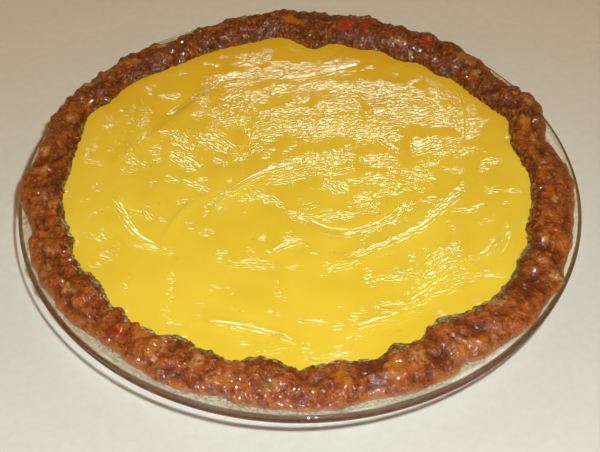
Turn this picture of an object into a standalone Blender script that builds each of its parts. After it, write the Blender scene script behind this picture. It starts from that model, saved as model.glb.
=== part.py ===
"""A canistel custard tart in its clear glass pie dish.

Three solids, one inside the other: the turned glass dish, the case of chopped nuts and dates pressed
into it and lapped over its rim, and the spread custard that fills the case.
Metres, +Z up, the origin on the table under the middle of the dish. The photographed front faces -Y.
"""

import math

import bmesh
import bpy
from mathutils import Vector, noise

# Driving dimensions
RIM_RADIUS = 0.1194         # outer edge of the glass rim
RIM_TOP = 0.0384            # top of the round edge of the rim
FLANGE_TOP = 0.0380         # flat part of the rim, which the case laps over
RIM_ROUND = 0.0019          # the rim's edge is round by this radius
LIP_RADIUS = 0.1120         # where the flat of the rim starts to turn down into the bowl
WALL_TOP_RADIUS = 0.1056    # inside of the bowl, just under the lip
WALL_TOP = 0.0330
FLOOR_RADIUS = 0.0870       # inside of the bowl, where the flat floor ends
GLASS = 0.0040              # thickness of the glass floor
CASE_FLOOR = 0.0106         # top of the pressed floor of the case
CASE_FLOOR_RADIUS = 0.0820
CASE_INNER_RADIUS = 0.0985  # mean radius where the custard meets the case
CASE_OUTER_RADIUS = 0.1162  # mean radius of the ragged outer edge on the glass
CASE_REACH = 0.1187         # the case never passes the glass rim
CASE_CREST = 0.0454         # mean height of the crest of the case
CASE_FADE = 0.0040          # over this height above the glass the lumps grow to their full size
CUSTARD_LEVEL = 0.0382
SHORE = 0.004               # the custard is level this close to the case
SHORE_FADE = 0.010
MOUND = 0.0120              # size and height of the soft mounds that the case was pinched into
MOUND_HEIGHT = 0.0018
LUMP = 0.0060               # size of a chopped nut or date in the case
LUMP_MIDDLE = 0.50          # this far from a lump's centre, in sizes, the surface is at its mean
LUMP_HEIGHT = 0.0018        # how round the lumps are
LUMP_DEPTH = 0.0010         # how unevenly they are pressed in
GRAIN = 0.0034
GRAIN_HEIGHT = 0.0011
GAP = 0.00035               # left between pieces that touch

DISH_STEPS = 84             # facets round the dish
RIM_STEPS = 5               # and round the edge of its rim
GRID = 46                   # squares along one side of the custard's grid
CASE_STEPS = 4 * GRID       # facets round the case, one for each edge of the custard's rim

# The lumps of the rim that stand out, anticlockwise from +X:
# (angle, half width, both in degrees, then how far it pushes the outer edge outwards,
# the inner edge inwards, and the crest upwards, in millimetres)
SWELLS = (
    (2, 7, 0.0, 0.6, 0.2),
    (13, 5, -4.0, 2.8, -1.4),
    (23, 5, 2.4, -3.4, 1.4),
    (37, 6, -1.0, -0.4, -0.6),
    (50, 5, 0.4, 1.8, 0.6),
    (62, 5, -0.4, 2.8, 0.8),
    (73, 5, 0.6, 3.6, 1.8),
    (86, 5, 0.0, 5.6, 1.2),
    (97, 4, 0.4, -2.2, 1.2),
    (121, 8, -2.6, -0.4, -0.6),
    (139, 7, 0.0, -3.6, -0.4),
    (155, 9, 2.0, -6.0, 0.2),
    (168, 5, -0.6, -1.0, -0.8),
    (182, 6, 3.0, -2.0, 0.8),
    (194, 5, -1.8, -0.6, -1.2),
    (205, 4, 0.8, -1.4, 0.4),
    (216, 4, 0.6, 1.6, 0.6),
    (231, 6, -3.0, -0.6, -0.2),
    (243, 5, -0.6, 3.4, 0.8),
    (254, 4, -2.2, -2.0, 0.4),
    (262, 5, -0.4, 2.0, 1.0),
    (270, 3, 0.4, -1.0, -0.8),
    (275, 36, 0.2, 1.8, 0.8),
    (284, 4, -2.0, 1.4, 0.4),
    (291, 3, 0.0, 2.2, 0.6),
    (305, 8, -1.6, 5.2, 1.0),
    (320, 4, 1.8, 0.8, 0.2),
    (330, 7, 1.4, 0.0, -0.2),
    (347, 6, -0.6, 1.4, 0.2),
)

# The marks that the spatula left in the custard, as curves bent towards their middle point:
# (start, middle, end, in millimetres from the centre, then half width and height, in millimetres)
STROKES = (
    ((-80, 14), (-54, 44), (-34, 70), 3.6, 0.60),
    ((-36, -14), (-21, 2), (2, 14), 2.4, 0.55),
    ((-56, -35), (-50, -18), (-39, -5), 2.2, 0.40),
    ((-31, 12), (-23, 24), (-21, 42), 2.2, -0.35),
    ((-3, -12), (20, -26), (48, -8), 2.8, -0.40),
    ((14, -43), (46, -29), (68, -5), 2.6, 0.50),
    ((71, -42), (78, -37), (82, -27), 2.2, 0.45),
    ((88, -20), (85, -32), (79, -43), 2.2, 0.35),
    ((34, 30), (37, 25), (43, 20), 2.2, 0.35),
    ((49, 36), (48, 28), (49, 18), 2.2, -0.40),
    ((70, 60), (74, 48), (70, 5), 2.4, -0.40),
    ((38, -66), (54, -54), (65, -38), 4.2, 0.60),
    ((-13, -42), (-7, -37), (2, -32), 2.2, 0.40),
    ((-77, -7), (-70, -27), (-54, -37), 2.4, 0.45),
    ((-40, -75), (-20, -78), (3, -86), 2.4, 0.40),
    ((18, -79), (32, -74), (46, -68), 2.6, 0.45),
    ((-8, 69), (8, 71), (25, 78), 2.4, 0.40),
    ((-72, 42), (-73, 32), (-77, 20), 3.0, 0.40),
    ((-60, 46), (-54, 52), (-47, 62), 2.4, -0.35),
    ((60, -37), (68, -44), (72, -50), 2.4, 0.35),
)
STROKE_SEGMENTS = 8         # straight steps along a mark
SWIRL_CENTRE = (0.018, 0.0)     # the custard was spread in turns about this point
SWIRL_PITCH = 0.017             # distance between two turns
SWIRL_HEIGHT = 0.00010
WANDER_SIZE = 0.055             # the turns wander over this distance
WANDER_TURN = 5.0               # by up to this many radians
UNEVEN_SIZE = 0.022             # size and height of the soft unevenness between the marks
UNEVEN_HEIGHT = 0.0003


def clear_scene():
    for obj in list(bpy.data.objects):
        bpy.data.objects.remove(obj)


def make_collection(name):
    collection = bpy.data.collections.new(name)
    bpy.context.scene.collection.children.link(collection)
    return collection


def make_material(name, colour, roughness, transmission=0.0):
    material = bpy.data.materials.new(name)
    material.use_nodes = True
    shader = material.node_tree.nodes["Principled BSDF"]
    shader.inputs["Base Color"].default_value = (*colour, 1.0)
    shader.inputs["Roughness"].default_value = roughness
    shader.inputs["Metallic"].default_value = 0.0
    shader.inputs["Transmission Weight"].default_value = transmission
    return material


def turned(name, profile, steps):
    """An object made by turning a profile of (radius, height) points about the Z axis."""
    mesh = bpy.data.meshes.new(name)
    points = [(radius, 0.0, height) for radius, height in profile]
    mesh.from_pydata(points, [(i, i + 1) for i in range(len(points) - 1)], [])
    obj = bpy.data.objects.new(name, mesh)
    screw = obj.modifiers.new("Turn", "SCREW")
    screw.axis = "Z"
    screw.angle = 2 * math.pi
    screw.steps = screw.render_steps = steps
    screw.use_merge_vertices = True
    screw.merge_threshold = 0.00002
    screw.use_smooth_shade = True
    return obj


def bowl_profile():
    """The glass that the case lies on, from the middle of the floor to the flat of the rim."""
    return [
        (0.0, GLASS),
        (FLOOR_RADIUS, GLASS),
        (FLOOR_RADIUS + 0.0042, GLASS + 0.0023),
        (WALL_TOP_RADIUS, WALL_TOP),
        (WALL_TOP_RADIUS + 0.0011, WALL_TOP + 0.0026),
        (LIP_RADIUS - 0.0030, FLANGE_TOP - 0.0006),
        (LIP_RADIUS, FLANGE_TOP),
    ]


def underside_profile():
    """The round edge of the rim and the outside of the bowl, down to the flat foot."""
    turns = [math.pi * (0.5 - i / RIM_STEPS) for i in range(RIM_STEPS + 1)]
    middle = (RIM_RADIUS - RIM_ROUND, RIM_TOP - RIM_ROUND)
    edge = [(middle[0] + RIM_ROUND * math.cos(turn), middle[1] + RIM_ROUND * math.sin(turn)) for turn in turns]
    return edge + [
        (LIP_RADIUS + 0.0004, RIM_TOP - 2 * RIM_ROUND),
        (WALL_TOP_RADIUS + 0.0029, WALL_TOP - 0.0019),
        (FLOOR_RADIUS + 0.0070, GLASS + 0.0008),
        (FLOOR_RADIUS + 0.0040, 0.0010),
        (FLOOR_RADIUS, 0.0),
        (0.0, 0.0),
    ]


def case_back_profile():
    """The back of the case, pressed against the bowl, from its lap on the rim down to its middle."""
    return [
        (LIP_RADIUS - 0.0037, FLANGE_TOP + 0.0003),
        (WALL_TOP_RADIUS - 0.0007, WALL_TOP + 0.0010),
        (FLOOR_RADIUS + 0.0038, GLASS + 0.0030),
        (FLOOR_RADIUS - 0.0002, GLASS + GAP),
        (0.0, GLASS + GAP),
    ]


def crest_profile():
    """The part of the case that stands over the glass, from its inner edge out to its outer edge."""
    return [
        (CASE_INNER_RADIUS - 0.0002, CUSTARD_LEVEL - 0.0014),
        (CASE_INNER_RADIUS, CUSTARD_LEVEL + 0.0006),
        (CASE_INNER_RADIUS + 0.0006, 0.0412),
        (CASE_INNER_RADIUS + 0.0020, 0.0434),
        (CASE_INNER_RADIUS + 0.0046, 0.0449),
        (CASE_INNER_RADIUS + 0.0078, CASE_CREST),
        (CASE_OUTER_RADIUS - 0.0056, 0.0450),
        (CASE_OUTER_RADIUS - 0.0030, 0.0438),
        (CASE_OUTER_RADIUS - 0.0008, 0.0421),
        (CASE_OUTER_RADIUS + 0.0003, 0.0401),
        (CASE_OUTER_RADIUS, RIM_TOP + GAP),
    ]


def swelling(angle, column):
    """The sum of the swells at an angle in radians. Column 2 is outwards, 3 inwards and 4 upwards."""
    total = 0.0
    for swell in SWELLS:
        turn = math.degrees(angle) - swell[0]
        turn = (turn + 180) % 360 - 180
        total += swell[column] * 0.001 * math.exp(-((turn / swell[1]) ** 2))
    return total


def ragged(angle, size, wanders, seed):
    """A smooth wander in radius that closes on itself after a full turn."""
    at = Vector((math.cos(angle) * wanders, math.sin(angle) * wanders, seed))
    return size * noise.noise(at)


def inner_edge(angle):
    """How far the inner edge of the case lies from its mean radius."""
    return ragged(angle, 0.0011, 9.0, 3.0) - swelling(angle, 3)


def outer_edge(angle):
    """How far the outer edge of the case lies from its mean radius."""
    return ragged(angle, 0.0016, 12.0, 7.0) + swelling(angle, 2)


def crag(point):
    """How far the mounds, the lumps pressed into them and the grain stand out at a point, in metres."""
    distances, centres = noise.voronoi(point / LUMP)
    roundness = LUMP_MIDDLE - distances[0]
    depth = noise.cell(centres[0] * 7.0) - 0.5
    lump = LUMP_HEIGHT * roundness + LUMP_DEPTH * depth
    return MOUND_HEIGHT * noise.noise(point / MOUND) + lump + GRAIN_HEIGHT * noise.noise(point / GRAIN)


def reshape_case(obj):
    """Moves the turned case to its ragged outline and raises its lumps."""
    lap_middle = Vector(((CASE_INNER_RADIUS + CASE_OUTER_RADIUS) / 2, RIM_TOP + CASE_FADE / 2))
    for vertex in obj.data.vertices:
        x, y, height = vertex.co
        radius = math.hypot(x, y)
        angle = math.atan2(y, x)
        over_glass = height > RIM_TOP
        on_custard = height > WALL_TOP and radius < CASE_INNER_RADIUS
        if over_glass or on_custard:
            span = (radius - CASE_INNER_RADIUS) / (CASE_OUTER_RADIUS - CASE_INNER_RADIUS)
            span = min(max(span, 0.0), 1.0)
            radius += (1 - span) * inner_edge(angle) + span * outer_edge(angle)
            above = min(max((height - RIM_TOP - GAP) / CASE_FADE, 0.0), 1.0)
            away = Vector((radius, height)) - lap_middle
            out = crag(Vector((x, y, height))) * above
            radius += away.normalized().x * out
            height += away.normalized().y * out + swelling(angle, 4) * above
            radius = min(radius, CASE_REACH)
        vertex.co = Vector((radius * math.cos(angle), radius * math.sin(angle), height))


def make_dish(material):
    profile = bowl_profile() + underside_profile()
    dish = turned("dish", profile, DISH_STEPS)
    dish.data.materials.append(material)
    return dish


def made_solid(obj):
    """The object again, with its modifiers turned into mesh."""
    bpy.context.scene.collection.objects.link(obj)
    graph = bpy.context.evaluated_depsgraph_get()
    mesh = bpy.data.meshes.new_from_object(obj.evaluated_get(graph))
    name = obj.name
    bpy.data.objects.remove(obj)
    return bpy.data.objects.new(name, mesh)


def make_case(material):
    """The pressed case: turned first, then pushed into its lumps."""
    inside = [
        (0.0, CASE_FLOOR),
        (CASE_FLOOR_RADIUS, CASE_FLOOR),
        (CASE_FLOOR_RADIUS + 0.0036, CASE_FLOOR + 0.0019),
    ]
    profile = inside + crest_profile() + case_back_profile()
    case = made_solid(turned("crust", profile, CASE_STEPS))
    reshape_case(case)
    case.data.materials.append(material)
    return case


def bent(start, middle, end, share):
    """The point at a share from 0 to 1 along a curve that passes through its middle point."""
    pull = 2 * middle - (start + end) / 2
    return (1 - share) ** 2 * start + 2 * share * (1 - share) * pull + share ** 2 * end


def stroke_height(point, stroke):
    """The ridge or furrow of one spatula mark at a point, in metres."""
    start, middle, end = (Vector(place) * 0.001 for place in stroke[:3])
    half_width, height = stroke[3] * 0.001, stroke[4] * 0.001
    curve = [bent(start, middle, end, i / STROKE_SEGMENTS) for i in range(STROKE_SEGMENTS + 1)]
    nearest = 1.0
    share = 0.0
    for i in range(STROKE_SEGMENTS):
        step = curve[i + 1] - curve[i]
        part = min(max((point - curve[i]).dot(step) / step.length_squared, 0.0), 1.0)
        distance = (curve[i].lerp(curve[i + 1], part) - point).length
        if distance < nearest:
            nearest = distance
            share = (i + part) / STROKE_SEGMENTS
    fade = math.sin(math.pi * (0.12 + 0.76 * share))
    return height * fade * math.exp(-((nearest / half_width) ** 2))


def custard_height(point):
    """The height of the spread custard over its mean level."""
    from_centre = point - Vector(SWIRL_CENTRE)
    turn = math.atan2(from_centre.y, from_centre.x)
    wander = WANDER_TURN * noise.noise((point / WANDER_SIZE).to_3d())
    swirl = math.sin(from_centre.length / SWIRL_PITCH * 2 * math.pi + turn + wander)
    height = SWIRL_HEIGHT * swirl + UNEVEN_HEIGHT * noise.noise((point / UNEVEN_SIZE).to_3d())
    height += sum(stroke_height(point, stroke) for stroke in STROKES)
    shore = min(max((CASE_INNER_RADIUS - SHORE - point.length) / SHORE_FADE, 0.0), 1.0)
    return height * shore


def onto_disc(x, y):
    """A point of the square from -1 to 1 moved to the unit disc, square rings becoming round ones."""
    if abs(x) < 1e-9 and abs(y) < 1e-9:
        return Vector((0.0, 0.0))
    if abs(x) >= abs(y):
        turn = math.pi / 4 * y / x
        return x * Vector((math.cos(turn), math.sin(turn)))
    turn = math.pi / 4 * x / y
    return y * Vector((math.sin(turn), math.cos(turn)))


def make_custard(material):
    """A grid drawn onto a disc, raised into the marks of the spatula and extruded to the case's floor."""
    bpy.ops.mesh.primitive_grid_add(x_subdivisions=GRID, y_subdivisions=GRID, size=2.0)
    custard = bpy.context.object
    custard.name = "custard"
    bm = bmesh.new()
    bm.from_mesh(custard.data)
    for vertex in bm.verts:
        place = onto_disc(vertex.co.x, vertex.co.y)
        share = place.length
        angle = math.atan2(place.y, place.x)
        radius = share * (CASE_INNER_RADIUS - GAP + share ** 6 * inner_edge(angle))
        flat = Vector((radius * math.cos(angle), radius * math.sin(angle)))
        vertex.co = Vector((flat.x, flat.y, CUSTARD_LEVEL + custard_height(flat)))
    top = list(bm.faces)
    made = bmesh.ops.extrude_face_region(bm, geom=top, use_keep_orig=True)
    floor_faces = [item for item in made["geom"] if isinstance(item, bmesh.types.BMFace)]
    floor_verts = {vertex for face in floor_faces for vertex in face.verts}
    floor_radius = CASE_FLOOR_RADIUS + 0.0006
    for vertex in floor_verts:
        flat = Vector((vertex.co.x, vertex.co.y))
        reach = CASE_INNER_RADIUS - GAP + inner_edge(math.atan2(flat.y, flat.x))
        flat *= floor_radius / reach
        vertex.co = Vector((flat.x, flat.y, CASE_FLOOR + 2 * GAP))
    bmesh.ops.dissolve_faces(bm, faces=floor_faces, use_verts=True)
    bmesh.ops.recalc_face_normals(bm, faces=bm.faces)
    bm.to_mesh(custard.data)
    bm.free()
    custard.data.shade_smooth()
    custard.data.set_sharp_from_angle(angle=math.radians(50))
    custard.data.materials.append(material)
    return custard


def main():
    clear_scene()
    tart = make_collection("canistel_custard_tart")
    glass = make_material("clear glass", (0.95, 0.97, 0.95), 0.02, transmission=1.0)
    case = make_material("nut and date case", (0.26, 0.075, 0.018), 0.35)
    custard = make_material("canistel custard", (0.80, 0.54, 0.05), 0.30)
    for obj in (make_dish(glass), make_case(case), make_custard(custard)):
        for collection in list(obj.users_collection):
            collection.objects.unlink(obj)
        tart.objects.link(obj)


main()
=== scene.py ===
"""The looks of a canistel custard tart in its clear glass pie dish, seen from the front and above.

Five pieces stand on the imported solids: the turned glass dish, the round edge of its rim, a thin film on
the flat of the rim, the case of chopped nuts and dates with its lumps at full detail, and the spread
custard with the fine wrinkles that the spatula left.
Metres, +Z up, the photographed front faces -Y.
"""

import math

import bmesh
import bpy
import numpy as np
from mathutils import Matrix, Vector, noise


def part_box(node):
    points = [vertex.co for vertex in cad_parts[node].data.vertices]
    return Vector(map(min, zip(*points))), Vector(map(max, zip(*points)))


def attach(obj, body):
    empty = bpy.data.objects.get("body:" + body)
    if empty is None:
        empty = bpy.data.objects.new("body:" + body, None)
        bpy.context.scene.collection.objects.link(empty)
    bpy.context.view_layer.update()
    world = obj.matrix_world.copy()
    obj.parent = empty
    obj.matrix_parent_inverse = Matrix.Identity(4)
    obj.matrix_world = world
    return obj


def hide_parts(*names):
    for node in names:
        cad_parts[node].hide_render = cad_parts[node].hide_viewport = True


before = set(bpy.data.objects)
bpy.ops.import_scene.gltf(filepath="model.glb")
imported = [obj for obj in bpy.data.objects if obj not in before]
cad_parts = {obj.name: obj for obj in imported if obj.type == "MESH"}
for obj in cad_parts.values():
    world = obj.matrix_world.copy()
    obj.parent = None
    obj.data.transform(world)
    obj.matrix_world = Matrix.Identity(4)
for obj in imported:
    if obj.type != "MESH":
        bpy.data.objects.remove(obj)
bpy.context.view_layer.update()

# Sizes shared with the solids
RIM_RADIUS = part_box("dish")[1].x    # outer edge of the glass rim
RIM_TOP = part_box("dish")[1].z       # top of the round edge of the rim
FLANGE_TOP = RIM_TOP - 0.0004       # flat part of the rim, which the case laps over
RIM_ROUND = 0.0019                  # the rim's edge is round by this radius
EDGE_BAND = 0.4 * RIM_ROUND         # glass this close to the outer edge belongs to the piece of the edge
LIP_RADIUS = 0.1120                 # where the flat of the rim turns down into the bowl
WALL_TOP_RADIUS = 0.1056
WALL_TOP = 0.0330
FLOOR_RADIUS = 0.0870
GLASS = 0.0040                      # thickness of the glass floor
CASE_FLOOR = 0.0106
CASE_FLOOR_RADIUS = 0.0820
CUSTARD_BASE_RADIUS = CASE_FLOOR_RADIUS + 0.001
CASE_INNER_RADIUS = 0.0985          # mean radius where the custard meets the case
CASE_OUTER_RADIUS = 0.1162          # mean radius of the ragged outer edge on the glass
CASE_REACH = 0.1187                 # the case never passes the glass rim
CASE_CREST = 0.0454
CASE_FADE = 0.0040                  # over this height above the glass the lumps grow to their full size
CUSTARD_LEVEL = 0.0382
SHORE = 0.004                       # the custard is level this close to the case
SHORE_FADE = 0.010                  # and further in its unevenness grows over this width
INNER_FOOT = CUSTARD_LEVEL - 0.0014 # lowest height of the case's inner edge, hidden in the custard
INNER_FADE = 0.0030                 # over this height above it the lumps grow to their full size
MOUND = 0.0120                      # size and height of the soft mounds that the case was pinched into
MOUND_HEIGHT = 0.0018
LUMP = 0.0060                       # size of a chopped nut or date in the case
LUMP_MIDDLE = 0.50                  # this far from a lump's centre, in sizes, the surface is at its mean
LUMP_BORDER = 0.14                  # softness of the border between two lumps, in sizes
LUMP_HEIGHT = 0.0018                # how far a lump's middle stands out
LUMP_DEPTH = 0.0010                 # how much whole lumps differ in height
CHIP = 0.0028                       # the same five values for the small chips on the lumps
CHIP_MIDDLE = 0.5
CHIP_BORDER = 0.12
CHIP_HEIGHT = 0.0008
CHIP_DEPTH = 0.0004
GRAIN = 0.0034
GRAIN_HEIGHT = 0.0011
FINE = 0.0014
FINE_HEIGHT = 0.00035
SHORE_RAGS = 0.0012                 # height of the fine rags along the custard
BLOTCH = 0.009                      # size of the blotches of colour
HOLLOW_DEPTH = 0.0005               # painted shade starts this deep in the hollows of the case
HOLLOW_FADE = 0.0018                # and is darkest this much deeper
NUT_CHIPS = 0.66                    # chips whose own draw is over this are nuts
NUT_FADE = 0.2
FOOT_TOP = 0.0430                   # the outer foot of the case is amber in blotches below this height
FOOT_FADE = 0.003

# The lumps of the rim that stand out, anticlockwise from +X:
# (angle, half width, both in degrees, then how far it pushes the outer edge outwards,
# the inner edge inwards, and the crest upwards, in millimetres)
SWELLS = (
    (2, 7, 0.0, 0.6, 0.2),
    (13, 5, -4.0, 2.8, -1.4),
    (23, 5, 2.4, -3.4, 1.4),
    (37, 6, -1.0, -0.4, -0.6),
    (50, 5, 0.4, 1.8, 0.6),
    (62, 5, -0.4, 2.8, 0.8),
    (73, 5, 0.6, 3.6, 1.8),
    (86, 5, 0.0, 5.6, 1.2),
    (97, 4, 0.4, -2.2, 1.2),
    (121, 8, -2.6, -0.4, -0.6),
    (139, 7, 0.0, -3.6, -0.4),
    (155, 9, 2.0, -6.0, 0.2),
    (168, 5, -0.6, -1.0, -0.8),
    (182, 6, 3.0, -2.0, 0.8),
    (194, 5, -1.8, -0.6, -1.2),
    (205, 4, 0.8, -1.4, 0.4),
    (216, 4, 0.6, 1.6, 0.6),
    (231, 6, -3.0, -0.6, -0.2),
    (243, 5, -0.6, 3.4, 0.8),
    (254, 4, -2.2, -2.0, 0.4),
    (262, 5, -0.4, 2.0, 1.0),
    (270, 3, 0.4, -1.0, -0.8),
    (275, 36, 0.2, 1.8, 0.8),
    (284, 4, -2.0, 1.4, 0.4),
    (291, 3, 0.0, 2.2, 0.6),
    (305, 8, -1.6, 5.2, 1.0),
    (320, 4, 1.8, 0.8, 0.2),
    (330, 7, 1.4, 0.0, -0.2),
    (347, 6, -0.6, 1.4, 0.2),
)

# The marks that the spatula left in the custard, as curves bent towards their middle point:
# (start, middle, end, in millimetres from the centre, then half width and height, in millimetres)
STROKES = (
    ((-80, 14), (-54, 44), (-34, 70), 3.6, 0.60),
    ((-36, -14), (-21, 2), (2, 14), 2.4, 0.55),
    ((-56, -35), (-50, -18), (-39, -5), 2.2, 0.40),
    ((-31, 12), (-23, 24), (-21, 42), 2.2, -0.35),
    ((-3, -12), (20, -26), (48, -8), 2.8, -0.40),
    ((14, -43), (46, -29), (68, -5), 2.6, 0.50),
    ((71, -42), (78, -37), (82, -27), 2.2, 0.45),
    ((88, -20), (85, -32), (79, -43), 2.2, 0.35),
    ((34, 30), (37, 25), (43, 20), 2.2, 0.35),
    ((49, 36), (48, 28), (49, 18), 2.2, -0.40),
    ((70, 60), (74, 48), (70, 5), 2.4, -0.40),
    ((38, -66), (54, -54), (65, -38), 4.2, 0.60),
    ((-13, -42), (-7, -37), (2, -32), 2.2, 0.40),
    ((-77, -7), (-70, -27), (-54, -37), 2.4, 0.45),
    ((-40, -75), (-20, -78), (3, -86), 2.4, 0.40),
    ((18, -79), (32, -74), (46, -68), 2.6, 0.45),
    ((-8, 69), (8, 71), (25, 78), 2.4, 0.40),
    ((-72, 42), (-73, 32), (-77, 20), 3.0, 0.40),
    ((-60, 46), (-54, 52), (-47, 62), 2.4, -0.35),
    ((60, -37), (68, -44), (72, -50), 2.4, 0.35),
)
STROKE_SEGMENTS = 24
SWIRL_CENTRE = (0.018, 0.0)     # low rings turn about this point
SWIRL_PITCH = 0.017
SWIRL_HEIGHT = 0.00010
WANDER_SIZE = 0.055             # size of the bends in those rings
WANDER_TURN = 5.0               # and how far they go, in radians of the ring's wave
UNEVEN_SIZE = 0.022
UNEVEN_HEIGHT = 0.0003
CREASE_REACH = 0.004            # beside a spatula mark its crease has faded out at this distance
RIPPLE_LENGTH = 2.9             # size of a ripple along and across, in millimetres
RIPPLE_WIDTH = 1.05
STRAY_RIPPLES = 0.60            # strength of the small patches of ripples between the named ones
FRONT_TINT_END = -0.020         # the custard grows more orange from this Y
TINT_FADE = 0.115               # over this length towards the back

# Where the custard is rippled: (x, y, half length, half width in millimetres, turn in degrees, strength)
RIPPLES = (
    (-22, 83, 9, 3, 25, 1.0),
    (4, 78, 15, 3, 4, 1.0),
    (-16, 73, 18, 4, 10, 0.9),
    (-26, 67, 9, 4, 20, 0.8),
    (-30, 58, 7, 6, 50, 0.9),
    (-10, 62, 6, 4, 20, 0.9),
    (-18, 57, 5, 4, 20, 0.9),
    (-29, 50, 8, 6, 60, 1.0),
    (-43, 66, 4, 4, 45, 0.7),
    (-44, 54, 3, 5, 20, 0.7),
    (-46, 45, 3, 3, 20, 0.6),
    (-30, 41, 8, 4, 15, 0.8),
    (-9, 46, 12, 3, 8, 0.9),
    (-12, 36, 12, 6, 18, 1.0),
    (-19, 24, 7, 4, 40, 0.8),
    (-37, 27, 9, 6, -35, 0.5),
    (-50, 15, 8, 4, -40, 0.6),
    (-52, 27, 9, 5, -55, 0.5),
    (-76, 44, 9, 9, 30, 0.4),
    (-76, 26, 6, 8, 70, 0.4),
    (-72, 14, 6, 3, -20, 0.5),
    (-92, 22, 3, 8, 0, 0.4),
    (22, 82, 5, 2, 10, 0.8),
    (12, 72, 15, 2, 14, 0.8),
    (47, 82, 8, 3, -28, 1.0),
    (59, 75, 4, 3, -50, 0.9),
    (63, 70, 4, 3, 20, 0.9),
    (28, 63, 13, 5, 8, 1.0),
    (7, 64, 11, 3, 28, 1.0),
    (1, 56, 4, 2, 30, 0.9),
    (44, 57, 13, 6, 4, 1.0),
    (20, 55, 9, 4, 10, 1.0),
    (13, 48, 14, 4, 14, 0.8),
    (60, 52, 5, 4, -20, 0.8),
    (65, 62, 4, 4, -45, 1.0),
    (75, 57, 7, 4, -50, 1.0),
    (79, 48, 4, 5, -30, 0.9),
    (45, 44, 15, 6, 12, 1.0),
    (68, 47, 8, 5, 4, 0.9),
    (77, 40, 7, 4, 6, 1.0),
    (75, 34, 5, 4, 25, 1.0),
    (14, 37, 14, 8, 22, 1.0),
    (30, 33, 8, 6, 20, 1.0),
    (39, 33, 6, 5, 10, 0.9),
    (60, 39, 11, 2, 0, 0.8),
    (38, 25, 8, 2, -45, 0.8),
    (56, 25, 8, 5, 22, 1.0),
    (67, 27, 4, 3, 20, 1.0),
    (62, 19, 9, 2, 22, 0.8),
    (10, 16, 15, 5, 8, 1.0),
    (-6, 7, 10, 7, 25, 1.0),
    (14, 8, 10, 3, 14, 0.8),
    (35, 16, 8, 4, -8, 0.9),
    (41, 11, 3, 4, 20, 0.7),
    (56, 13, 5, 3, 28, 0.8),
    (50, 6, 8, 3, -18, 0.8),
    (31, 4, 9, 3, 12, 0.8),
    (41, 0, 12, 3, -14, 0.9),
    (15, -1, 6, 4, -30, 1.0),
    (27, -8, 4, 5, 0, 1.0),
    (37, -5, 9, 2, 12, 0.8),
    (32, -12, 3, 3, -40, 0.9),
    (11, -18, 13, 3, 4, 0.9),
    (4, -13, 4, 3, 30, 0.5),
    (-15, -8, 10, 3, -30, 0.5),
    (30, -24, 12, 3, 22, 0.7),
    (44, -13, 6, 3, 45, 0.7),
    (28, -38, 14, 2, 26, 0.9),
    (45, -29, 10, 2, 30, 0.9),
    (60, -13, 12, 3, 45, 0.9),
    (18, -45, 7, 3, 20, 0.9),
    (38, -52, 11, 2, 8, 0.8),
    (42, -49, 5, 2, 0, 0.7),
    (57, -41, 10, 4, 45, 0.9),
    (53, -54, 16, 6, 48, 1.0),
    (62, -48, 5, 7, 10, 0.9),
    (51, -62, 13, 3, 28, 0.9),
    (35, -66, 8, 2, 4, 0.8),
    (32, -75, 14, 3, 22, 0.8),
    (21, -81, 7, 2, 22, 0.7),
    (7, -74, 8, 1.5, -10, 0.6),
    (84, -31, 12, 2, 66, 0.8),
    (77, -37, 8, 1.5, 45, 0.6),
    (71, -50, 3, 2, 30, 0.6),
    (-73, -18, 13, 2, -64, 0.8),
    (-61, -36, 8, 2, -12, 0.8),
    (-64, -17, 4, 2, -55, 0.8),
    (-45, 0, 9, 2, -25, 0.7),
    (-34, -14, 3, 3, 45, 1.0),
    (-30, -6, 6, 2, 10, 0.5),
    (-20, -45, 11, 3, -4, 0.7),
    (-3, -32, 5, 3, -10, 0.6),
    (-20, -78, 14, 1.5, -12, 0.7),
    (-2, -84, 8, 1.5, -20, 0.7),
    (-12, -89, 8, 1.5, 14, 0.6),
    (-83, -30, 5, 3, -30, 0.4),
    (-78, -41, 4, 3, -20, 0.5),
    (-42, -56, 8, 3, -20, 0.2),
    (73, 21, 5, 3, 20, 0.5),
    (83, 14, 4, 3, 20, 0.5),
    (36, 88, 4, 4, 30, 0.6),
    (15, 91, 9, 2, 0, 0.4),
    (75, -12, 3, 2, 20, 0.5),
    (12, -91, 9, 1.5, 10, 1.0),
)

# Pieces that show in the case: (angle in degrees, radius, half length, half width in millimetres)
FRUIT_SPOTS = (
    (231, 110.5, 5.0, 2.0),
    (78, 105, 4.0, 3.0),
    (72.5, 106.5, 2.5, 3.0),
    (286, 104, 1.6, 0.9),
    (56, 107, 3.0, 2.0),
    (193, 105.5, 3.0, 1.6),
)
NUT_SPOTS = (
    (249, 106, 2.6, 2.6),
    (215, 111, 5.0, 1.8),
    (241, 113, 2.2, 1.6),
    (264, 110, 2.6, 3.0),
    (294, 108, 3.6, 3.0),
    (318, 103.5, 4.0, 2.0),
    (331, 113.5, 3.2, 1.8),
    (62, 103, 4.0, 1.6),
    (75, 112, 5.0, 1.6),
    (187, 106, 2.6, 1.8),
    (207, 113, 3.4, 1.6),
    (352, 107, 2.2, 1.6),
    (24, 110, 2.4, 1.8),
    (135, 107, 3.0, 2.0),
    (104, 113, 2.4, 1.6),
    (148, 112, 5.0, 1.6),
    (127, 109, 4.0, 1.4),
    (40, 105, 3.0, 1.6),
    (12, 108, 3.0, 1.6),
    (339, 105, 2.6, 1.6),
    (172, 111, 3.0, 1.4),
)
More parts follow.
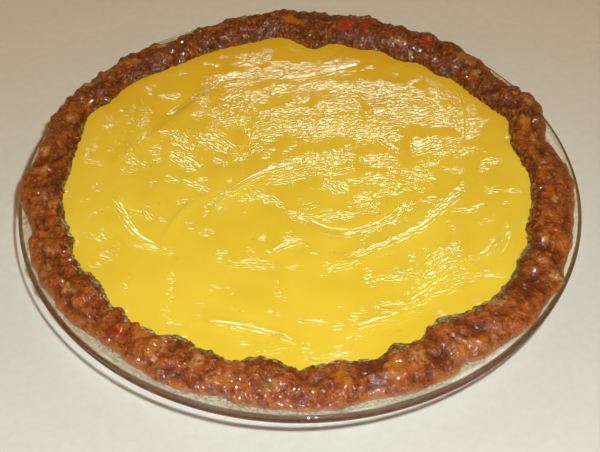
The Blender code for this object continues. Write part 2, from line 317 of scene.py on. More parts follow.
AMBER_SPOTS = (
    (222, 114.5, 6.0, 2.2),
    (239, 108, 3.0, 5.0),
    (235, 104, 3.5, 2.5),
    (305, 113.5, 9.0, 2.2),
    (289, 109, 3.0, 5.0),
    (279, 106, 3.0, 5.0),
    (340, 113, 3.0, 2.2),
    (190, 103, 4.0, 1.8),
    (178, 107, 5.0, 2.0),
    (136, 107, 4.0, 3.0),
    (255, 112, 6.0, 2.0),
    (142, 110, 6.0, 2.4),
    (112, 109, 4.0, 3.0),
    (92, 105, 4.0, 2.0),
    (45, 109, 5.0, 2.6),
    (18, 106, 4.0, 3.0),
    (200, 108, 5.0, 2.4),
    (160, 106, 5.0, 2.4),
)

# How finely the pieces are made: points around, then rows across
DISH_STEPS = 288
RIM_STEPS = 12
FILM_ROWS = 8
CASE_STEPS = 1180
CREST_ROWS = 58
PRESSED_ROWS = 20
HIDDEN_ROWS = 4
CUSTARD_GRID = 306

# How close the pieces lie
FILM = 0.00003                  # the film on the flat of the rim stands this far over the glass
INTO_GLASS = 0.00012            # the case reaches this far into the glass that it is pressed against
INTO_CASE = 0.0012              # and the custard this far into the case

# Camera and lights
CAMERA_AIM = (0.0, -0.0241, RIM_TOP)
CAMERA_DISTANCE = 0.50
CAMERA_ELEVATION = 47.16
CAMERA_LENS = 72.47             # in millimetres, for a picture of the next width
PICTURE_WIDTH = 36.0
CAMERA_NEAR = 0.01
LIGHTS_AIM = (0.0, 0.0, 0.03)
FRONT_LIGHT_PLACE = (0.025, -0.338, 0.428)
FRONT_LIGHT_SIZE = (0.014, 0.014)
FRONT_LIGHT_POWER = 2.5
FRONT_LIGHT_COLOUR = (0.87, 1.0, 1.0)
BACK_LIGHT_PLACE = (0.06, 1.15, 0.53)
BACK_LIGHT_SIZE = (0.8, 0.40)
BACK_LIGHT_POWER = 5.8
BACK_LIGHT_COLOUR = (0.82, 1.0, 0.86)
ROUND_LIGHT_COLOUR = (1.0, 0.57, 0.14)
ROUND_LIGHT_STRENGTH = 0.29
FLOOR_SIZE = 6.0

# Colours, linear
# warm tint of the glass, partly painted shade: it darkens and warms what is seen through the rim in place of
# the glass's own shadow
GLASS_TINT_AND_SHADE = (0.94, 0.90, 0.83)
FILM_COLOUR = (0.80, 0.70, 0.52)
PASTE_DARK = (0.185, 0.024, 0.0025)
PASTE_PALE = (0.370, 0.084, 0.009)
PASTE_SHREDS = (0.110, 0.011, 0.001)
# painted shade for the back and sides of the case and along the custard
PASTE_PAINTED_SHADE = (0.070, 0.0060, 0.0005)
PASTE_FLECKS = (0.530, 0.155, 0.032)
NUT_COLOUR = (0.520, 0.245, 0.080)
AMBER_COLOUR = (0.520, 0.160, 0.014)
FRUIT_COLOUR = (0.380, 0.018, 0.005)
# painted shade in the hollows of the case
HOLLOW_SHADE_COLOUR = (0.090, 0.010, 0.002)
CUSTARD_FRONT = ((0.830, 0.570, 0.036), (0.870, 0.620, 0.048))
CUSTARD_BACK = ((0.800, 0.440, 0.014), (0.840, 0.490, 0.020))
CUSTARD_SPECKS = (0.360, 0.200, 0.020)
FLOOR_COLOURS = ((0.750, 0.710, 0.650), (0.780, 0.740, 0.680))


def swelling(angles, column):
    """The sum of the swells at angles in radians. Column 2 is outwards, 3 inwards and 4 upwards."""
    total = np.zeros_like(angles)
    for swell in SWELLS:
        turn = (np.degrees(angles) - swell[0] + 180) % 360 - 180
        total += swell[column] * 0.001 * np.exp(-((turn / swell[1]) ** 2))
    return total


def ragged(angles, size, wanders, seed):
    """A smooth wander in radius that closes on itself after a full turn."""
    around = np.stack([np.cos(angles) * wanders, np.sin(angles) * wanders, np.full_like(angles, seed)], 1)
    return size * np.array([noise.noise(point) for point in around.tolist()])


def inner_edge(angles):
    return ragged(angles, size=0.0011, wanders=9.0, seed=3.0) - swelling(angles, 3)


def outer_edge(angles):
    return ragged(angles, size=0.0016, wanders=12.0, seed=7.0) + swelling(angles, 2)


def clipped(values):
    return np.clip(values, 0.0, 1.0)


def smooth_step(values):
    share = clipped(values)
    return share * share * (3 - 2 * share)


def noise_at(points, size, seed=0.0):
    """Smooth noise from -1 to 1 at each point, with features of about that size."""
    return np.array([noise.noise(point) for point in (points / size + seed).tolist()])


def lumps_at(points, size, softness, seed=0.0):
    """Packed lumps of that size: how far each point is from its lump's centre in sizes, and two draws
    from 0 to 1 that are each lump's own, blended over a soft border."""
    distance = np.empty(len(points))
    first = np.empty(len(points))
    second = np.empty(len(points))
    for i, point in enumerate((points / size + seed).tolist()):
        distances, centres = noise.voronoi(point)
        weights = [math.exp((distances[0] - other) / softness) for other in distances]
        whole = sum(weights)
        distance[i] = distances[0]
        first[i] = sum(w * noise.cell(c * 7.0) for w, c in zip(weights, centres)) / whole
        second[i] = sum(w * noise.cell(c * 11.0) for w, c in zip(weights, centres)) / whole
    return distance, first, second


def rounded(profile, times=2):
    """The profile with its corners cut, ends kept."""
    points = np.array(profile, float)
    for _ in range(times):
        near = 0.75 * points[:-1] + 0.25 * points[1:]
        far = 0.25 * points[:-1] + 0.75 * points[1:]
        middle = np.stack([near, far], 1).reshape(-1, 2)
        points = np.vstack([points[:1], middle[1:-1], points[-1:]])
    return points


def evenly(profile, count):
    """That many points at equal steps along a profile."""
    points = np.array(profile, float)
    along = np.concatenate([[0], np.cumsum(np.hypot(*np.diff(points, axis=0).T))])
    at = np.linspace(0, along[-1], count)
    return np.stack([np.interp(at, along, points[:, 0]), np.interp(at, along, points[:, 1])], 1)


def turned_rings(profile, steps):
    """The points of a profile of radius and height, turned about Z, and the angles of the turn."""
    angles = np.arange(steps) * 2 * math.pi / steps
    radius, height = profile[:, 0][:, None], profile[:, 1][:, None]
    return np.stack([radius * np.cos(angles), radius * np.sin(angles), height + 0 * angles], 2), angles


def smooth_mesh(name, points, faces):
    mesh = bpy.data.meshes.new(name)
    mesh.from_pydata(points, [], faces)
    mesh.shade_smooth()
    return mesh


def faces_between(rings):
    """The four-sided faces between rings of points, ring by ring."""
    rows, steps = rings.shape[:2]
    starts = np.arange(rows - 1)[:, None] * steps
    here = starts + np.arange(steps)[None, :]
    beside = starts + (np.arange(steps)[None, :] + 1) % steps
    return np.stack([here, here + steps, beside + steps, beside], 2).reshape(-1, 4).tolist()


def strip_mesh(name, rings):
    """An open mesh through rings of points."""
    return smooth_mesh(name, rings.reshape(-1, 3).tolist(), faces_between(rings))


def turned_mesh(name, rings):
    """A closed mesh through rings of points, its first and last ring each closed to a point on the axis."""
    rows, steps = rings.shape[:2]
    top = [[0.0, 0.0, float(rings[0, :, 2].mean())]]
    bottom = [[0.0, 0.0, float(rings[-1, :, 2].mean())]]
    last = (rows - 1) * steps
    lid = [[rows * steps, i, (i + 1) % steps] for i in range(steps)]
    base = [[rows * steps + 1, last + (i + 1) % steps, last + i] for i in range(steps)]
    return smooth_mesh(name, rings.reshape(-1, 3).tolist() + top + bottom, faces_between(rings) + lid + base)


def paint(mesh, name, values):
    """Keeps a number or a vector for each vertex, which the materials read by that name.
    The last vertices, for which no values are given, get zeros."""
    kept = np.zeros((len(mesh.vertices), *values.shape[1:]), np.float32)
    kept[:len(values)] = values
    kind, field = ("FLOAT", "value") if values.ndim == 1 else ("FLOAT_VECTOR", "vector")
    mesh.attributes.new(name, kind, "POINT").data.foreach_set(field, kept.ravel())


def make_piece(name, mesh, material, node):
    piece = bpy.data.objects.new(name, mesh)
    bpy.context.scene.collection.objects.link(piece)
    mesh.materials.append(material)
    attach(piece, "root")
    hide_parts(node)
    return piece


# Nodes of the materials

def new_material(name):
    material = bpy.data.materials.new(name)
    material.use_nodes = True
    return material, material.node_tree, material.node_tree.nodes["Principled BSDF"]


def painted(tree, name, output="Fac"):
    """The socket of a number painted on the vertices, or with output "Vector" of a vector."""
    node = tree.nodes.new("ShaderNodeAttribute")
    node.attribute_name = name
    return node.outputs[output]


def object_place(tree):
    return tree.nodes.new("ShaderNodeTexCoord").outputs["Object"]


def noise_texture(tree, size, detail=2.0, roughness=0.5, place=None, distortion=0.0):
    node = tree.nodes.new("ShaderNodeTexNoise")
    node.inputs["Scale"].default_value = 1.0 / size
    node.inputs["Detail"].default_value = detail
    node.inputs["Roughness"].default_value = roughness
    node.inputs["Distortion"].default_value = distortion
    tree.links.new(place or object_place(tree), node.inputs["Vector"])
    return node.outputs["Fac"]


def from_scattered(tree, size):
    """How far each place is from the nearest of scattered points, in sizes."""
    node = tree.nodes.new("ShaderNodeTexVoronoi")
    node.inputs["Scale"].default_value = 1.0 / size
    tree.links.new(object_place(tree), node.inputs["Vector"])
    return node.outputs["Distance"]


def ranged(tree, value, low, high, to_low=0.0, to_high=1.0):
    """A value from low to high moved to another range and clipped to it."""
    node = tree.nodes.new("ShaderNodeMapRange")
    node.interpolation_type = "SMOOTHSTEP"
    tree.links.new(value, node.inputs["Value"])
    node.inputs["From Min"].default_value = low
    node.inputs["From Max"].default_value = high
    node.inputs["To Min"].default_value = to_low
    node.inputs["To Max"].default_value = to_high
    return node.outputs["Result"]


def worked(tree, operation, first, second=0.0):
    """The result of an operation on sockets or numbers."""
    node = tree.nodes.new("ShaderNodeMath")
    node.operation = operation
    for socket, value in zip(node.inputs, (first, second)):
        if isinstance(value, (int, float)):
            socket.default_value = value
        else:
            tree.links.new(value, socket)
    return node.outputs["Value"]


def hump(tree, value, steepness):
    """1 where the value is 0, falling off smoothly to both sides."""
    squared = worked(tree, "POWER", value, 2.0)
    return worked(tree, "EXPONENT", worked(tree, "MULTIPLY", squared, -steepness))


def blended(tree, share, first, second):
    """A colour between two, by a share from 0 to 1. Each colour is a socket or three numbers."""
    node = tree.nodes.new("ShaderNodeMix")
    node.data_type = "RGBA"
    tree.links.new(share, node.inputs["Factor"])
    for socket, colour in ((node.inputs[6], first), (node.inputs[7], second)):
        if isinstance(colour, tuple):
            socket.default_value = (*colour, 1.0)
        else:
            tree.links.new(colour, socket)
    return node.outputs[2]


def bumped(tree, shader, height, distance, layer="Normal"):
    """Bumps the whole surface, or with layer "Coat Normal" only the glossy coat over it."""
    node = tree.nodes.new("ShaderNodeBump")
    node.inputs["Strength"].default_value = 1.0
    node.inputs["Distance"].default_value = distance
    tree.links.new(height, node.inputs["Height"])
    tree.links.new(node.outputs["Normal"], shader.inputs[layer])


def glass_material():
    material, tree, shader = new_material("clear_glass")
    shader.inputs["Base Color"].default_value = (*GLASS_TINT_AND_SHADE, 1.0)
    shader.inputs["Roughness"].default_value = 0.0
    shader.inputs["IOR"].default_value = 1.47
    shader.inputs["Transmission Weight"].default_value = 1.0
    waves = worked(tree, "MULTIPLY", noise_texture(tree, 0.018, detail=1.0), 2.0)
    grain = worked(tree, "MULTIPLY", noise_texture(tree, 0.0009, detail=1.0), 0.5)
    bumped(tree, shader, worked(tree, "ADD", waves, grain), 0.00006)
    return material


def film_material():
    """A half-clear film in fine spots, which makes the flat of the rim paler."""
    material, tree, shader = new_material("rim_film")
    shader.inputs["Base Color"].default_value = (*FILM_COLOUR, 1.0)
    shader.inputs["Roughness"].default_value = 0.4
    thick = ranged(tree, noise_texture(tree, 0.0010), 0.35, 0.65, 0.25, 0.60)
    tree.links.new(thick, shader.inputs["Alpha"])
    return material


def case_colour(tree):
    """The colours of the case, laid one over the other, with painted shade at the back and sides, along the
    custard and in the hollows. The shares of the last four are painted on.
    """
    mottle = ranged(tree, noise_texture(tree, 0.0045, detail=4.0, roughness=0.65), 0.36, 0.62)
    colour = blended(tree, mottle, PASTE_DARK, PASTE_PALE)
    shreds = ranged(tree, noise_texture(tree, 0.0020), 0.32, 0.44, 0.8, 0.0)
    colour = blended(tree, shreds, colour, PASTE_SHREDS)
    # painted shade, in patches, towards the back and sides and along the custard
    patchy = ranged(tree, noise_texture(tree, 0.0028, detail=3.0), 0.36, 0.60, 0.45, 1.0)
    colour = blended(tree, worked(tree, "MULTIPLY", painted(tree, "painted_shade"), patchy), colour, PASTE_PAINTED_SHADE)
    flecks = ranged(tree, noise_texture(tree, 0.0012, roughness=0.6), 0.53, 0.66, 0.0, 0.65)
    colour = blended(tree, flecks, colour, PASTE_FLECKS)
    grainy = ranged(tree, noise_texture(tree, 0.0016), 0.34, 0.56, 0.0, 0.85)
    pieces = (
        ("nut", grainy, NUT_COLOUR),
        ("amber", 0.6, AMBER_COLOUR),
        ("fruit", 0.75, FRUIT_COLOUR),
        # painted shade in the hollows
        ("hollow_shade", 0.8, HOLLOW_SHADE_COLOUR),
    )
    for name, strength, tint in pieces:
        colour = blended(tree, worked(tree, "MULTIPLY", painted(tree, name), strength), colour, tint)
    return colour


def case_material():
    """A sticky paste of dates with chopped nuts, with painted shade in its hollows, at the back and sides
    and along the custard.
    Its gloss fades where it is seen edge on."""
    material, tree, shader = new_material("nut_date_case")
    tree.links.new(case_colour(tree), shader.inputs["Base Color"])
    wet = ranged(tree, noise_texture(tree, 0.0030), 0.38, 0.62, 0.24, 0.44)
    tree.links.new(wet, shader.inputs["Roughness"])
    shader.inputs["Specular IOR Level"].default_value = 0.10
    shader.inputs["Coat Roughness"].default_value = 0.07
    shader.inputs["Coat IOR"].default_value = 1.75
    shader.inputs["Subsurface Weight"].default_value = 0.15
    shader.inputs["Subsurface Radius"].default_value = (0.0030, 0.0009, 0.0003)
    shader.inputs["Subsurface Scale"].default_value = 1.0
    grains, crumbs = (noise_texture(tree, size, detail=1.0) for size in (0.0007, 0.0012))
    bumped(tree, shader, worked(tree, "ADD", grains, crumbs), 0.00055)
    bumped(tree, shader, noise_texture(tree, 0.0011, detail=0.0), 0.00075, layer="Coat Normal")
    facing = tree.nodes.new("ShaderNodeLayerWeight").outputs["Facing"]
    tree.links.new(ranged(tree, facing, 0.55, 0.90, 1.0, 0.1), shader.inputs["Coat Weight"])
    return material


def custard_colour(tree):
    """Yellow in clouds, more orange towards the back, with a few dark specks."""
    cloud = ranged(tree, noise_texture(tree, 0.030, detail=3.0), 0.35, 0.65)
    front = blended(tree, cloud, *CUSTARD_FRONT)
    back = blended(tree, cloud, *CUSTARD_BACK)
    colour = blended(tree, painted(tree, "orange"), front, back)
    spots = ranged(tree, from_scattered(tree, 0.0085), 0.075, 0.030, 0.0, 0.7)
    some = ranged(tree, noise_texture(tree, 0.012, detail=0.0), 0.50, 0.56)
    return blended(tree, worked(tree, "MULTIPLY", spots, some), colour, CUSTARD_SPECKS)


def wrinkles(tree):
    """The height of the ripples and of the creases, which are a furrow with a lip 1 mm beside it."""
    place = painted(tree, "ripple_place", "Vector")
    ripples = noise_texture(tree, 1.0, detail=0.0, place=place, distortion=0.8)
    ripples = worked(tree, "MULTIPLY", worked(tree, "SUBTRACT", ripples, 0.5), painted(tree, "rippled"))
    beside = painted(tree, "beside")
    furrow = hump(tree, beside, 4.0)
    lip = hump(tree, worked(tree, "SUBTRACT", beside, 1.0), 2.0)
    crease = worked(tree, "MULTIPLY", worked(tree, "SUBTRACT", lip, furrow), painted(tree, "creased"))
    return worked(tree, "ADD", ripples, worked(tree, "MULTIPLY", crease, 0.30))


def custard_material():
    """Smooth yellow custard with a wet sheen over its ripples and creases."""
    material, tree, shader = new_material("custard")
    tree.links.new(custard_colour(tree), shader.inputs["Base Color"])
    shader.inputs["Roughness"].default_value = 0.5
    shader.inputs["Specular IOR Level"].default_value = 0.0
    shader.inputs["Coat Weight"].default_value = 1.0
    shader.inputs["Coat Roughness"].default_value = 0.05
    shader.inputs["Coat IOR"].default_value = 1.8
    shader.inputs["Subsurface Weight"].default_value = 0.15
    shader.inputs["Subsurface Radius"].default_value = (0.0030, 0.0018, 0.0004)
    shader.inputs["Subsurface Scale"].default_value = 1.0
    height = wrinkles(tree)
    bumped(tree, shader, height, 0.00012)
    bumped(tree, shader, height, 0.00055, layer="Coat Normal")
    return material


def floor_material():
    material, tree, shader = new_material("pale_floor")
    grain = ranged(tree, noise_texture(tree, 0.004, detail=3.0), 0.3, 0.7)
    tree.links.new(blended(tree, grain, *FLOOR_COLOURS), shader.inputs["Base Color"])
    shader.inputs["Roughness"].default_value = 0.6
    return material


# The pieces

def bowl_profile():
    """The glass that the case lies on, from the middle of the floor to the flat of the rim."""
    return [
        (0.0, GLASS),
        (FLOOR_RADIUS, GLASS),
        (FLOOR_RADIUS + 0.0042, GLASS + 0.0023),
        (WALL_TOP_RADIUS, WALL_TOP),
        (WALL_TOP_RADIUS + 0.0011, WALL_TOP + 0.0026),
        (LIP_RADIUS - 0.0030, FLANGE_TOP - 0.0006),
        (LIP_RADIUS, FLANGE_TOP),
    ]


def underside_profile():
    """The round edge of the rim and the outside of the bowl, down to the flat foot."""
    turns = [math.pi * (0.5 - i / RIM_STEPS) for i in range(RIM_STEPS + 1)]
    middle = (RIM_RADIUS - RIM_ROUND, RIM_TOP - RIM_ROUND)
    edge = [(middle[0] + RIM_ROUND * math.cos(a), middle[1] + RIM_ROUND * math.sin(a)) for a in turns]
    return edge + [
        (LIP_RADIUS + 0.0004, RIM_TOP - 2 * RIM_ROUND),
        (WALL_TOP_RADIUS + 0.0029, WALL_TOP - 0.0019),
        (FLOOR_RADIUS + 0.0070, GLASS + 0.0008),
        (FLOOR_RADIUS + 0.0040, 0.0010),
        (FLOOR_RADIUS, 0.0),
        (0.0, 0.0),
    ]


def crest_profile():
    """The part of the case that stands over the glass, from its inner edge out to its outer edge."""
    return [
        (CASE_INNER_RADIUS - 0.0002, CUSTARD_LEVEL - 0.0014),
        (CASE_INNER_RADIUS, CUSTARD_LEVEL + 0.0006),
        (CASE_INNER_RADIUS + 0.0006, 0.0412),
        (CASE_INNER_RADIUS + 0.0020, 0.0434),
        (CASE_INNER_RADIUS + 0.0046, 0.0449),
        (CASE_INNER_RADIUS + 0.0078, CASE_CREST),
        (CASE_OUTER_RADIUS - 0.0056, 0.0450),
        (CASE_OUTER_RADIUS - 0.0030, 0.0438),
        (CASE_OUTER_RADIUS - 0.0008, 0.0421),
        (CASE_OUTER_RADIUS + 0.0003, 0.0401),
        (CASE_OUTER_RADIUS - 0.0004, RIM_TOP),
        (CASE_OUTER_RADIUS - 0.0016, FLANGE_TOP - INTO_GLASS),
    ]


def take_out_faces(mesh, first, last):
    """Takes the faces from first up to last out of a mesh, with the vertices that only they used."""
    work = bmesh.new()
    work.from_mesh(mesh)
    work.faces.ensure_lookup_table()
    bmesh.ops.delete(work, geom=work.faces[first:last], context="FACES")
    work.to_mesh(mesh)
    work.free()


def make_dish():
    """The bowl and the round edge of its rim are two pieces that meet. Only the edge throws a shadow."""
    profile = np.vstack([rounded(bowl_profile(), 3)[1:], rounded(underside_profile(), 3)[:-1]])
    rings, _ = turned_rings(profile, DISH_STEPS)
    edge_rows = np.flatnonzero(profile[:, 0] > RIM_RADIUS - EDGE_BAND)
    first, last = edge_rows[0] - 1, edge_rows[-1] + 1
    glass = glass_material()
    edge = strip_mesh("pie_dish_edge", rings[first:last + 1])
    make_piece("pie_dish_edge", edge, glass, "dish")
    bowl = turned_mesh("pie_dish", rings)
    take_out_faces(bowl, first * DISH_STEPS, last * DISH_STEPS)
    dish = make_piece("pie_dish", bowl, glass, "dish")
    dish.visible_shadow = False
    return dish


def make_film():
    """The thin film on the flat of the rim."""
    flat = evenly([(LIP_RADIUS, FLANGE_TOP + FILM), (RIM_RADIUS - RIM_ROUND, RIM_TOP + FILM)], FILM_ROWS)
    rings, _ = turned_rings(flat, DISH_STEPS)
    film = make_piece("rim_film", strip_mesh("rim_film", rings), film_material(), "dish")
    film.visible_shadow = False


def pressed_profile():
    """The back of the case, just inside the surface of the glass that it is pressed against."""
    glass = rounded(bowl_profile(), 3)[::-1]
    along = np.gradient(glass, axis=0)
    along /= np.hypot(*along.T)[:, None]
    into = np.stack([-along[:, 1], along[:, 0]], 1)
    return glass + into * INTO_GLASS


def spotted(points, spots, roughness):
    """How much each point of the case lies in one of the spots, from 0 to 1, with a ragged border."""
    turn = np.degrees(np.arctan2(points[:, 1], points[:, 0]))
    reach = np.hypot(points[:, 0], points[:, 1])
    ragged_border = roughness * noise_at(points, 0.0022, seed=13.0)
    share = np.zeros(len(points))
    for angle, radius, half_length, half_width in spots:
        along = np.radians((turn - angle + 180) % 360 - 180) * radius
        distance = np.hypot(along / half_length, (reach * 1000 - radius) / half_width)
        share = np.maximum(share, smooth_step(1.6 - 1.1 * distance + ragged_border))
    return share


def lump_relief(points):
    """How far mounds, lumps and grains push each point of the case outwards."""
    far, depth, _ = lumps_at(points, LUMP, LUMP_BORDER)
    relief = MOUND_HEIGHT * noise_at(points, MOUND) + LUMP_HEIGHT * (LUMP_MIDDLE - far)
    return relief + LUMP_DEPTH * (depth - 0.5) + GRAIN_HEIGHT * noise_at(points, GRAIN)


def make_case():
    """The hidden inside, the crest with its swells and lumps, and the back pressed into the glass."""
    crest = evenly(rounded(crest_profile()), CREST_ROWS)
    pressed = evenly(pressed_profile(), PRESSED_ROWS)[:-1]
    hidden = evenly([(0.0, CASE_FLOOR), (CASE_FLOOR_RADIUS, CASE_FLOOR), crest[0]], HIDDEN_ROWS)[1:-1]
    profile = np.vstack([hidden, crest, pressed])
    rings, angles = turned_rings(profile, CASE_STEPS)
    points = rings.reshape(-1, 3)
    angle = np.broadcast_to(angles, rings.shape[:2]).reshape(-1)
    radius = np.hypot(points[:, 0], points[:, 1])
    height = points[:, 2].copy()

    row = np.repeat(np.arange(len(profile)), CASE_STEPS)
    on_crest = (row >= len(hidden)) & (row < len(hidden) + len(crest))
    inner = np.tile(inner_edge(angles), len(profile))
    outer = np.tile(outer_edge(angles), len(profile))
    span = clipped((radius - CASE_INNER_RADIUS) / (CASE_OUTER_RADIUS - CASE_INNER_RADIUS))
    shift = np.where(on_crest, (1 - span) * inner + span * outer, 0.0)

    near, chip_depth, chip_kind = lumps_at(points, CHIP, CHIP_BORDER, seed=5.0)
    fine = noise_at(points, FINE, seed=2.0)
    small = CHIP_HEIGHT * (CHIP_MIDDLE - near) + CHIP_DEPTH * (chip_depth - 0.5) + FINE_HEIGHT * fine
    over_glass = clipped((height - RIM_TOP) / CASE_FADE)
    over_custard = clipped((height - INNER_FOOT) / INNER_FADE)
    above = np.where(span < 0.5, over_custard, over_glass) * on_crest
    rags = SHORE_RAGS * fine * on_crest * (span < 0.5) * (1 - over_custard)
    out = (lump_relief(points) + small) * above + rags
    middle = np.array([(CASE_INNER_RADIUS + CASE_OUTER_RADIUS) / 2, RIM_TOP + CASE_FADE / 2])
    away = np.stack([radius + shift - middle[0], height - middle[1]], 1)
    away /= np.maximum(np.hypot(*away.T), 1e-6)[:, None]
    radius = radius + shift + away[:, 0] * out
    height = height + away[:, 1] * out + swelling(angle, 4) * above * (height > RIM_TOP)
    radius = np.minimum(radius, CASE_REACH)
    shaped = np.stack([radius * np.cos(angle), radius * np.sin(angle), height], 1)

    mesh = turned_mesh("nut_date_case", shaped.reshape(rings.shape))
    blotch = noise_at(points, BLOTCH, seed=9.0)
    # painted shade in the hollows, darkest where the lumps push the surface deepest in
    paint(mesh, "hollow_shade", smooth_step((-HOLLOW_DEPTH - out) / HOLLOW_FADE) * above)
    nuts = 0.7 * smooth_step((chip_kind - NUT_CHIPS) / NUT_FADE) * smooth_step((0.7 - near) / 0.4)
    paint(mesh, "nut", np.maximum(nuts, spotted(points, NUT_SPOTS, 0.5)))
    outer_foot = clipped((span - 0.72) / 0.25) * clipped((FOOT_TOP - height) / FOOT_FADE) * on_crest
    amber_foot = outer_foot * smooth_step(0.5 + blotch)
    paint(mesh, "amber", np.maximum(amber_foot, spotted(points, AMBER_SPOTS, 0.8)))
    paint(mesh, "fruit", spotted(points, FRUIT_SPOTS, 0.4))
    # painted shade on the inner side of the crest along the custard, and towards the back and sides
    custard_side_shade = smooth_step((0.30 - span) / 0.24 + 0.6 * blotch) * on_crest
    back_shade = smooth_step(0.28 + 0.80 * np.sin(angle) + 0.35 * blotch)
    paint(mesh, "painted_shade", np.maximum(0.9 * back_shade, custard_side_shade))
    make_piece("nut_date_case", mesh, case_material(), "crust")


def bent(start, middle, end, share):
    """The point at a share from 0 to 1 along a curve that passes through its middle point."""
    pull = 2 * middle - (start + end) / 2
    return (1 - share) ** 2 * start + 2 * share * (1 - share) * pull + share ** 2 * end


def beside_stroke(flat, stroke):
    """How far each point lies from one spatula mark, in metres, and its share of the way along it.
    The distance is negative on the right of the way from the start to the end."""
    start, middle, end = (np.array(place) * 0.001 for place in stroke[:3])
    nearest = np.full(len(flat), 1.0)
    side = np.ones(len(flat))
    share = np.zeros(len(flat))
    curve = [bent(start, middle, end, i / STROKE_SEGMENTS) for i in range(STROKE_SEGMENTS + 1)]
    for i, (here, there) in enumerate(zip(curve[:-1], curve[1:])):
        step = there - here
        part = clipped((flat - here) @ step / (step @ step))
        off = flat - here - part[:, None] * step
        distance = np.hypot(*off.T)
        closer = distance < nearest
        nearest = np.where(closer, distance, nearest)
        side = np.where(closer, np.sign(step[0] * off[:, 1] - step[1] * off[:, 0]), side)
        share = np.where(closer, (i + part) / STROKE_SEGMENTS, share)
    return nearest * side, share


def custard_heights(flat):
    """The height of the spread custard over its mean level, and for the nearest spatula mark how far
    each point lies beside it, in millimetres, and how strong its crease is there."""
    from_centre = flat - np.array(SWIRL_CENTRE)
    turn = np.arctan2(from_centre[:, 1], from_centre[:, 0])
    deep = np.column_stack([flat, np.zeros(len(flat))])
    wander = WANDER_TURN * noise_at(deep, WANDER_SIZE)
    swirl = np.sin(np.hypot(*from_centre.T) / SWIRL_PITCH * 2 * math.pi + turn + wander)
    height = SWIRL_HEIGHT * swirl + UNEVEN_HEIGHT * noise_at(deep, UNEVEN_SIZE)
    beside = np.full(len(flat), CREASE_REACH)
    strength = np.zeros(len(flat))
    for stroke in STROKES:
        distance, share = beside_stroke(flat, stroke)
        fade = np.sin(math.pi * (0.12 + 0.76 * share))
        height += stroke[4] * 0.001 * fade * np.exp(-((distance / (stroke[3] * 0.001)) ** 2))
        nearer = np.abs(distance) < np.abs(beside)
        beside = np.where(nearer, distance, beside)
        here = np.sin(math.pi * share) * clipped((CREASE_REACH - np.abs(distance)) / (0.5 * CREASE_REACH))
        strength = np.where(nearer, here * np.sign(stroke[4]), strength)
    shore = clipped((CASE_INNER_RADIUS - SHORE - np.hypot(*flat.T)) / SHORE_FADE)
    return height * shore, beside * 1000, strength


def rippling(flat):
    """How rippled each point is, from 0 to 1, and the place along and across the ripples there."""
    deep = np.column_stack([flat, np.zeros(len(flat))])
    strength = STRAY_RIPPLES * smooth_step((noise_at(deep, 0.006, seed=8.0) - 0.15) / 0.35)
    place = deep * 1000 / np.array([RIPPLE_LENGTH, RIPPLE_WIDTH, 1.0])
    border = 0.45 * noise_at(deep, 0.0045, seed=4.0) + 0.25 * noise_at(deep, 0.0022, seed=6.0)
    for i, (x, y, half_length, half_width, turn, amount) in enumerate(RIPPLES):
        way = np.array([math.cos(math.radians(turn)), math.sin(math.radians(turn))])
        off = flat * 1000 - np.array([x, y])
        along = off @ way
        across = off @ np.array([-way[1], way[0]])
        distance = np.hypot(along / half_length, across / half_width)
        here = amount ** 0.7 * smooth_step(1.55 - 1.1 * distance + border)
        stronger = here > strength
        strength = np.where(stronger, here, strength)
        own = np.column_stack([along / RIPPLE_LENGTH, across / RIPPLE_WIDTH, np.full(len(flat), 7.0 * i)])
        place = np.where(stronger[:, None], own, place)
    return strength, place


def onto_disc(square):
    """Points of the square from -1 to 1 moved to the unit disc, square rings becoming round ones."""
    x, y = square[:, 0], square[:, 1]
    wide = np.abs(x) >= np.abs(y)
    longer = np.where(wide, x, y)
    shorter = np.where(wide, y, x)
    turn = math.pi / 4 * shorter / np.where(longer == 0, 1.0, longer)
    across, along = longer * np.cos(turn), longer * np.sin(turn)
    return np.stack([np.where(wide, across, along), np.where(wide, along, across)], 1)


def spread_places():
    """The places of a fine grid spread over the custard's disc, and the angle of each."""
    side = np.linspace(-1, 1, CUSTARD_GRID + 1)
    disc = onto_disc(np.stack(np.meshgrid(side, side, indexing="ij"), 2).reshape(-1, 2))
    share = np.hypot(*disc.T)
    angle = np.arctan2(disc[:, 1], disc[:, 0])
    radius = share * (CASE_INNER_RADIUS + INTO_CASE * share ** 6 + share ** 6 * inner_edge(angle))
    return np.stack([radius * np.cos(angle), radius * np.sin(angle)], 1), angle


def closed_below(top, angle):
    """The points and faces of the grid, of a skirt down from its border and of the base under it."""
    count = CUSTARD_GRID + 1
    index = np.arange(count * count).reshape(count, count)
    faces = np.stack([index[:-1, :-1], index[1:, :-1], index[1:, 1:], index[:-1, 1:]], 2).reshape(-1, 4)
    border = np.concatenate([index[:-1, 0], index[-1, :-1], index[:0:-1, -1], index[0, :0:-1]])
    base = np.column_stack([np.cos(angle[border]), np.sin(angle[border])]) * CUSTARD_BASE_RADIUS
    base = np.column_stack([base, np.full(len(border), CASE_FLOOR)])
    first = len(top)
    around = np.arange(len(border))
    after = (around + 1) % len(border)
    skirt = np.stack([border, first + around, first + after, border[after]], 1)
    centre = first + len(border)
    fan = [[centre, first + b, first + a] for a, b in zip(around.tolist(), after.tolist())]
    points = np.vstack([top, base, [[0.0, 0.0, CASE_FLOOR]]])
    return points.tolist(), faces.tolist() + skirt.tolist() + fan


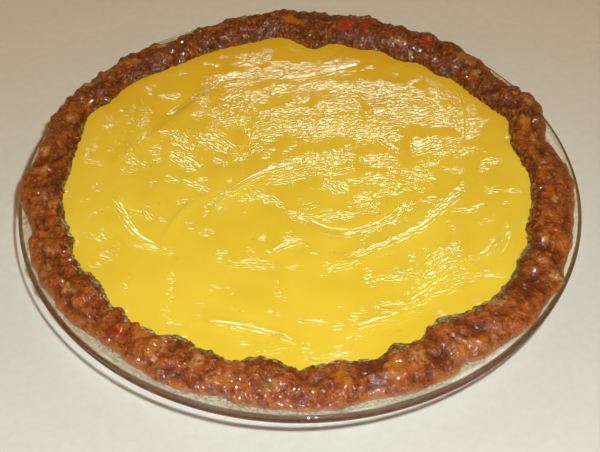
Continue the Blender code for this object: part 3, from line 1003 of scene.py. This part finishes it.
def make_custard():
    """The spread surface, with a skirt and a flat base under it that are hidden in the case."""
    flat, angle = spread_places()
    height, beside, creased = custard_heights(flat)
    rippled, ripple_place = rippling(flat)
    points, faces = closed_below(np.column_stack([flat, height + CUSTARD_LEVEL]), angle)
    mesh = smooth_mesh("canistel_custard", points, faces)
    paint(mesh, "rippled", rippled)
    paint(mesh, "beside", beside)
    paint(mesh, "creased", creased)
    paint(mesh, "orange", smooth_step((flat[:, 1] - FRONT_TINT_END) / TINT_FADE))
    paint(mesh, "ripple_place", ripple_place)
    return make_piece("canistel_custard", mesh, custard_material(), "custard")


# The stage

def make_floor():
    bpy.ops.mesh.primitive_plane_add(size=FLOOR_SIZE)
    floor = bpy.context.object
    floor.name = "floor"
    floor.data.materials.append(floor_material())


def aimed(obj, at):
    obj.rotation_euler = (Vector(at) - obj.location).to_track_quat("-Z", "Y").to_euler()


def make_camera():
    camera = bpy.data.objects.new("camera", bpy.data.cameras.new("camera"))
    bpy.context.scene.collection.objects.link(camera)
    camera.data.lens = CAMERA_LENS
    camera.data.sensor_width = PICTURE_WIDTH
    camera.data.clip_start = CAMERA_NEAR
    elevation = math.radians(CAMERA_ELEVATION)
    back = Vector((0.0, -math.cos(elevation), math.sin(elevation)))
    camera.location = Vector(CAMERA_AIM) + back * CAMERA_DISTANCE
    aimed(camera, CAMERA_AIM)
    bpy.context.scene.camera = camera


def make_light(name, place, size, power, colour):
    light = bpy.data.objects.new(name, bpy.data.lights.new(name, "AREA"))
    bpy.context.scene.collection.objects.link(light)
    light.data.shape = "ELLIPSE"
    light.data.size, light.data.size_y = size
    light.data.energy = power
    light.data.color = colour
    light.location = place
    aimed(light, LIGHTS_AIM)
    return light


def make_lights(shining):
    """A small hard light in front, an even orange one from all round, and one from behind, which adds
    sheen to the shining pieces and lights nothing else."""
    make_light("front_light", FRONT_LIGHT_PLACE, FRONT_LIGHT_SIZE, FRONT_LIGHT_POWER, FRONT_LIGHT_COLOUR)
    behind = make_light("back_light", BACK_LIGHT_PLACE, BACK_LIGHT_SIZE, BACK_LIGHT_POWER, BACK_LIGHT_COLOUR)
    behind.visible_diffuse = False
    lit = bpy.data.collections.new("lit_from_the_back")
    for piece in shining:
        lit.objects.link(piece)
    behind.light_linking.receiver_collection = lit
    world = bpy.data.worlds.new("studio")
    world.use_nodes = True
    bpy.context.scene.world = world
    world.node_tree.nodes["Background"].inputs["Color"].default_value = (*ROUND_LIGHT_COLOUR, 1.0)
    world.node_tree.nodes["Background"].inputs["Strength"].default_value = ROUND_LIGHT_STRENGTH


def main():
    make_camera()
    dish = make_dish()
    make_film()
    make_case()
    custard = make_custard()
    make_floor()
    make_lights([dish, custard])
    bpy.context.scene.view_settings.view_transform = "Standard"


main()
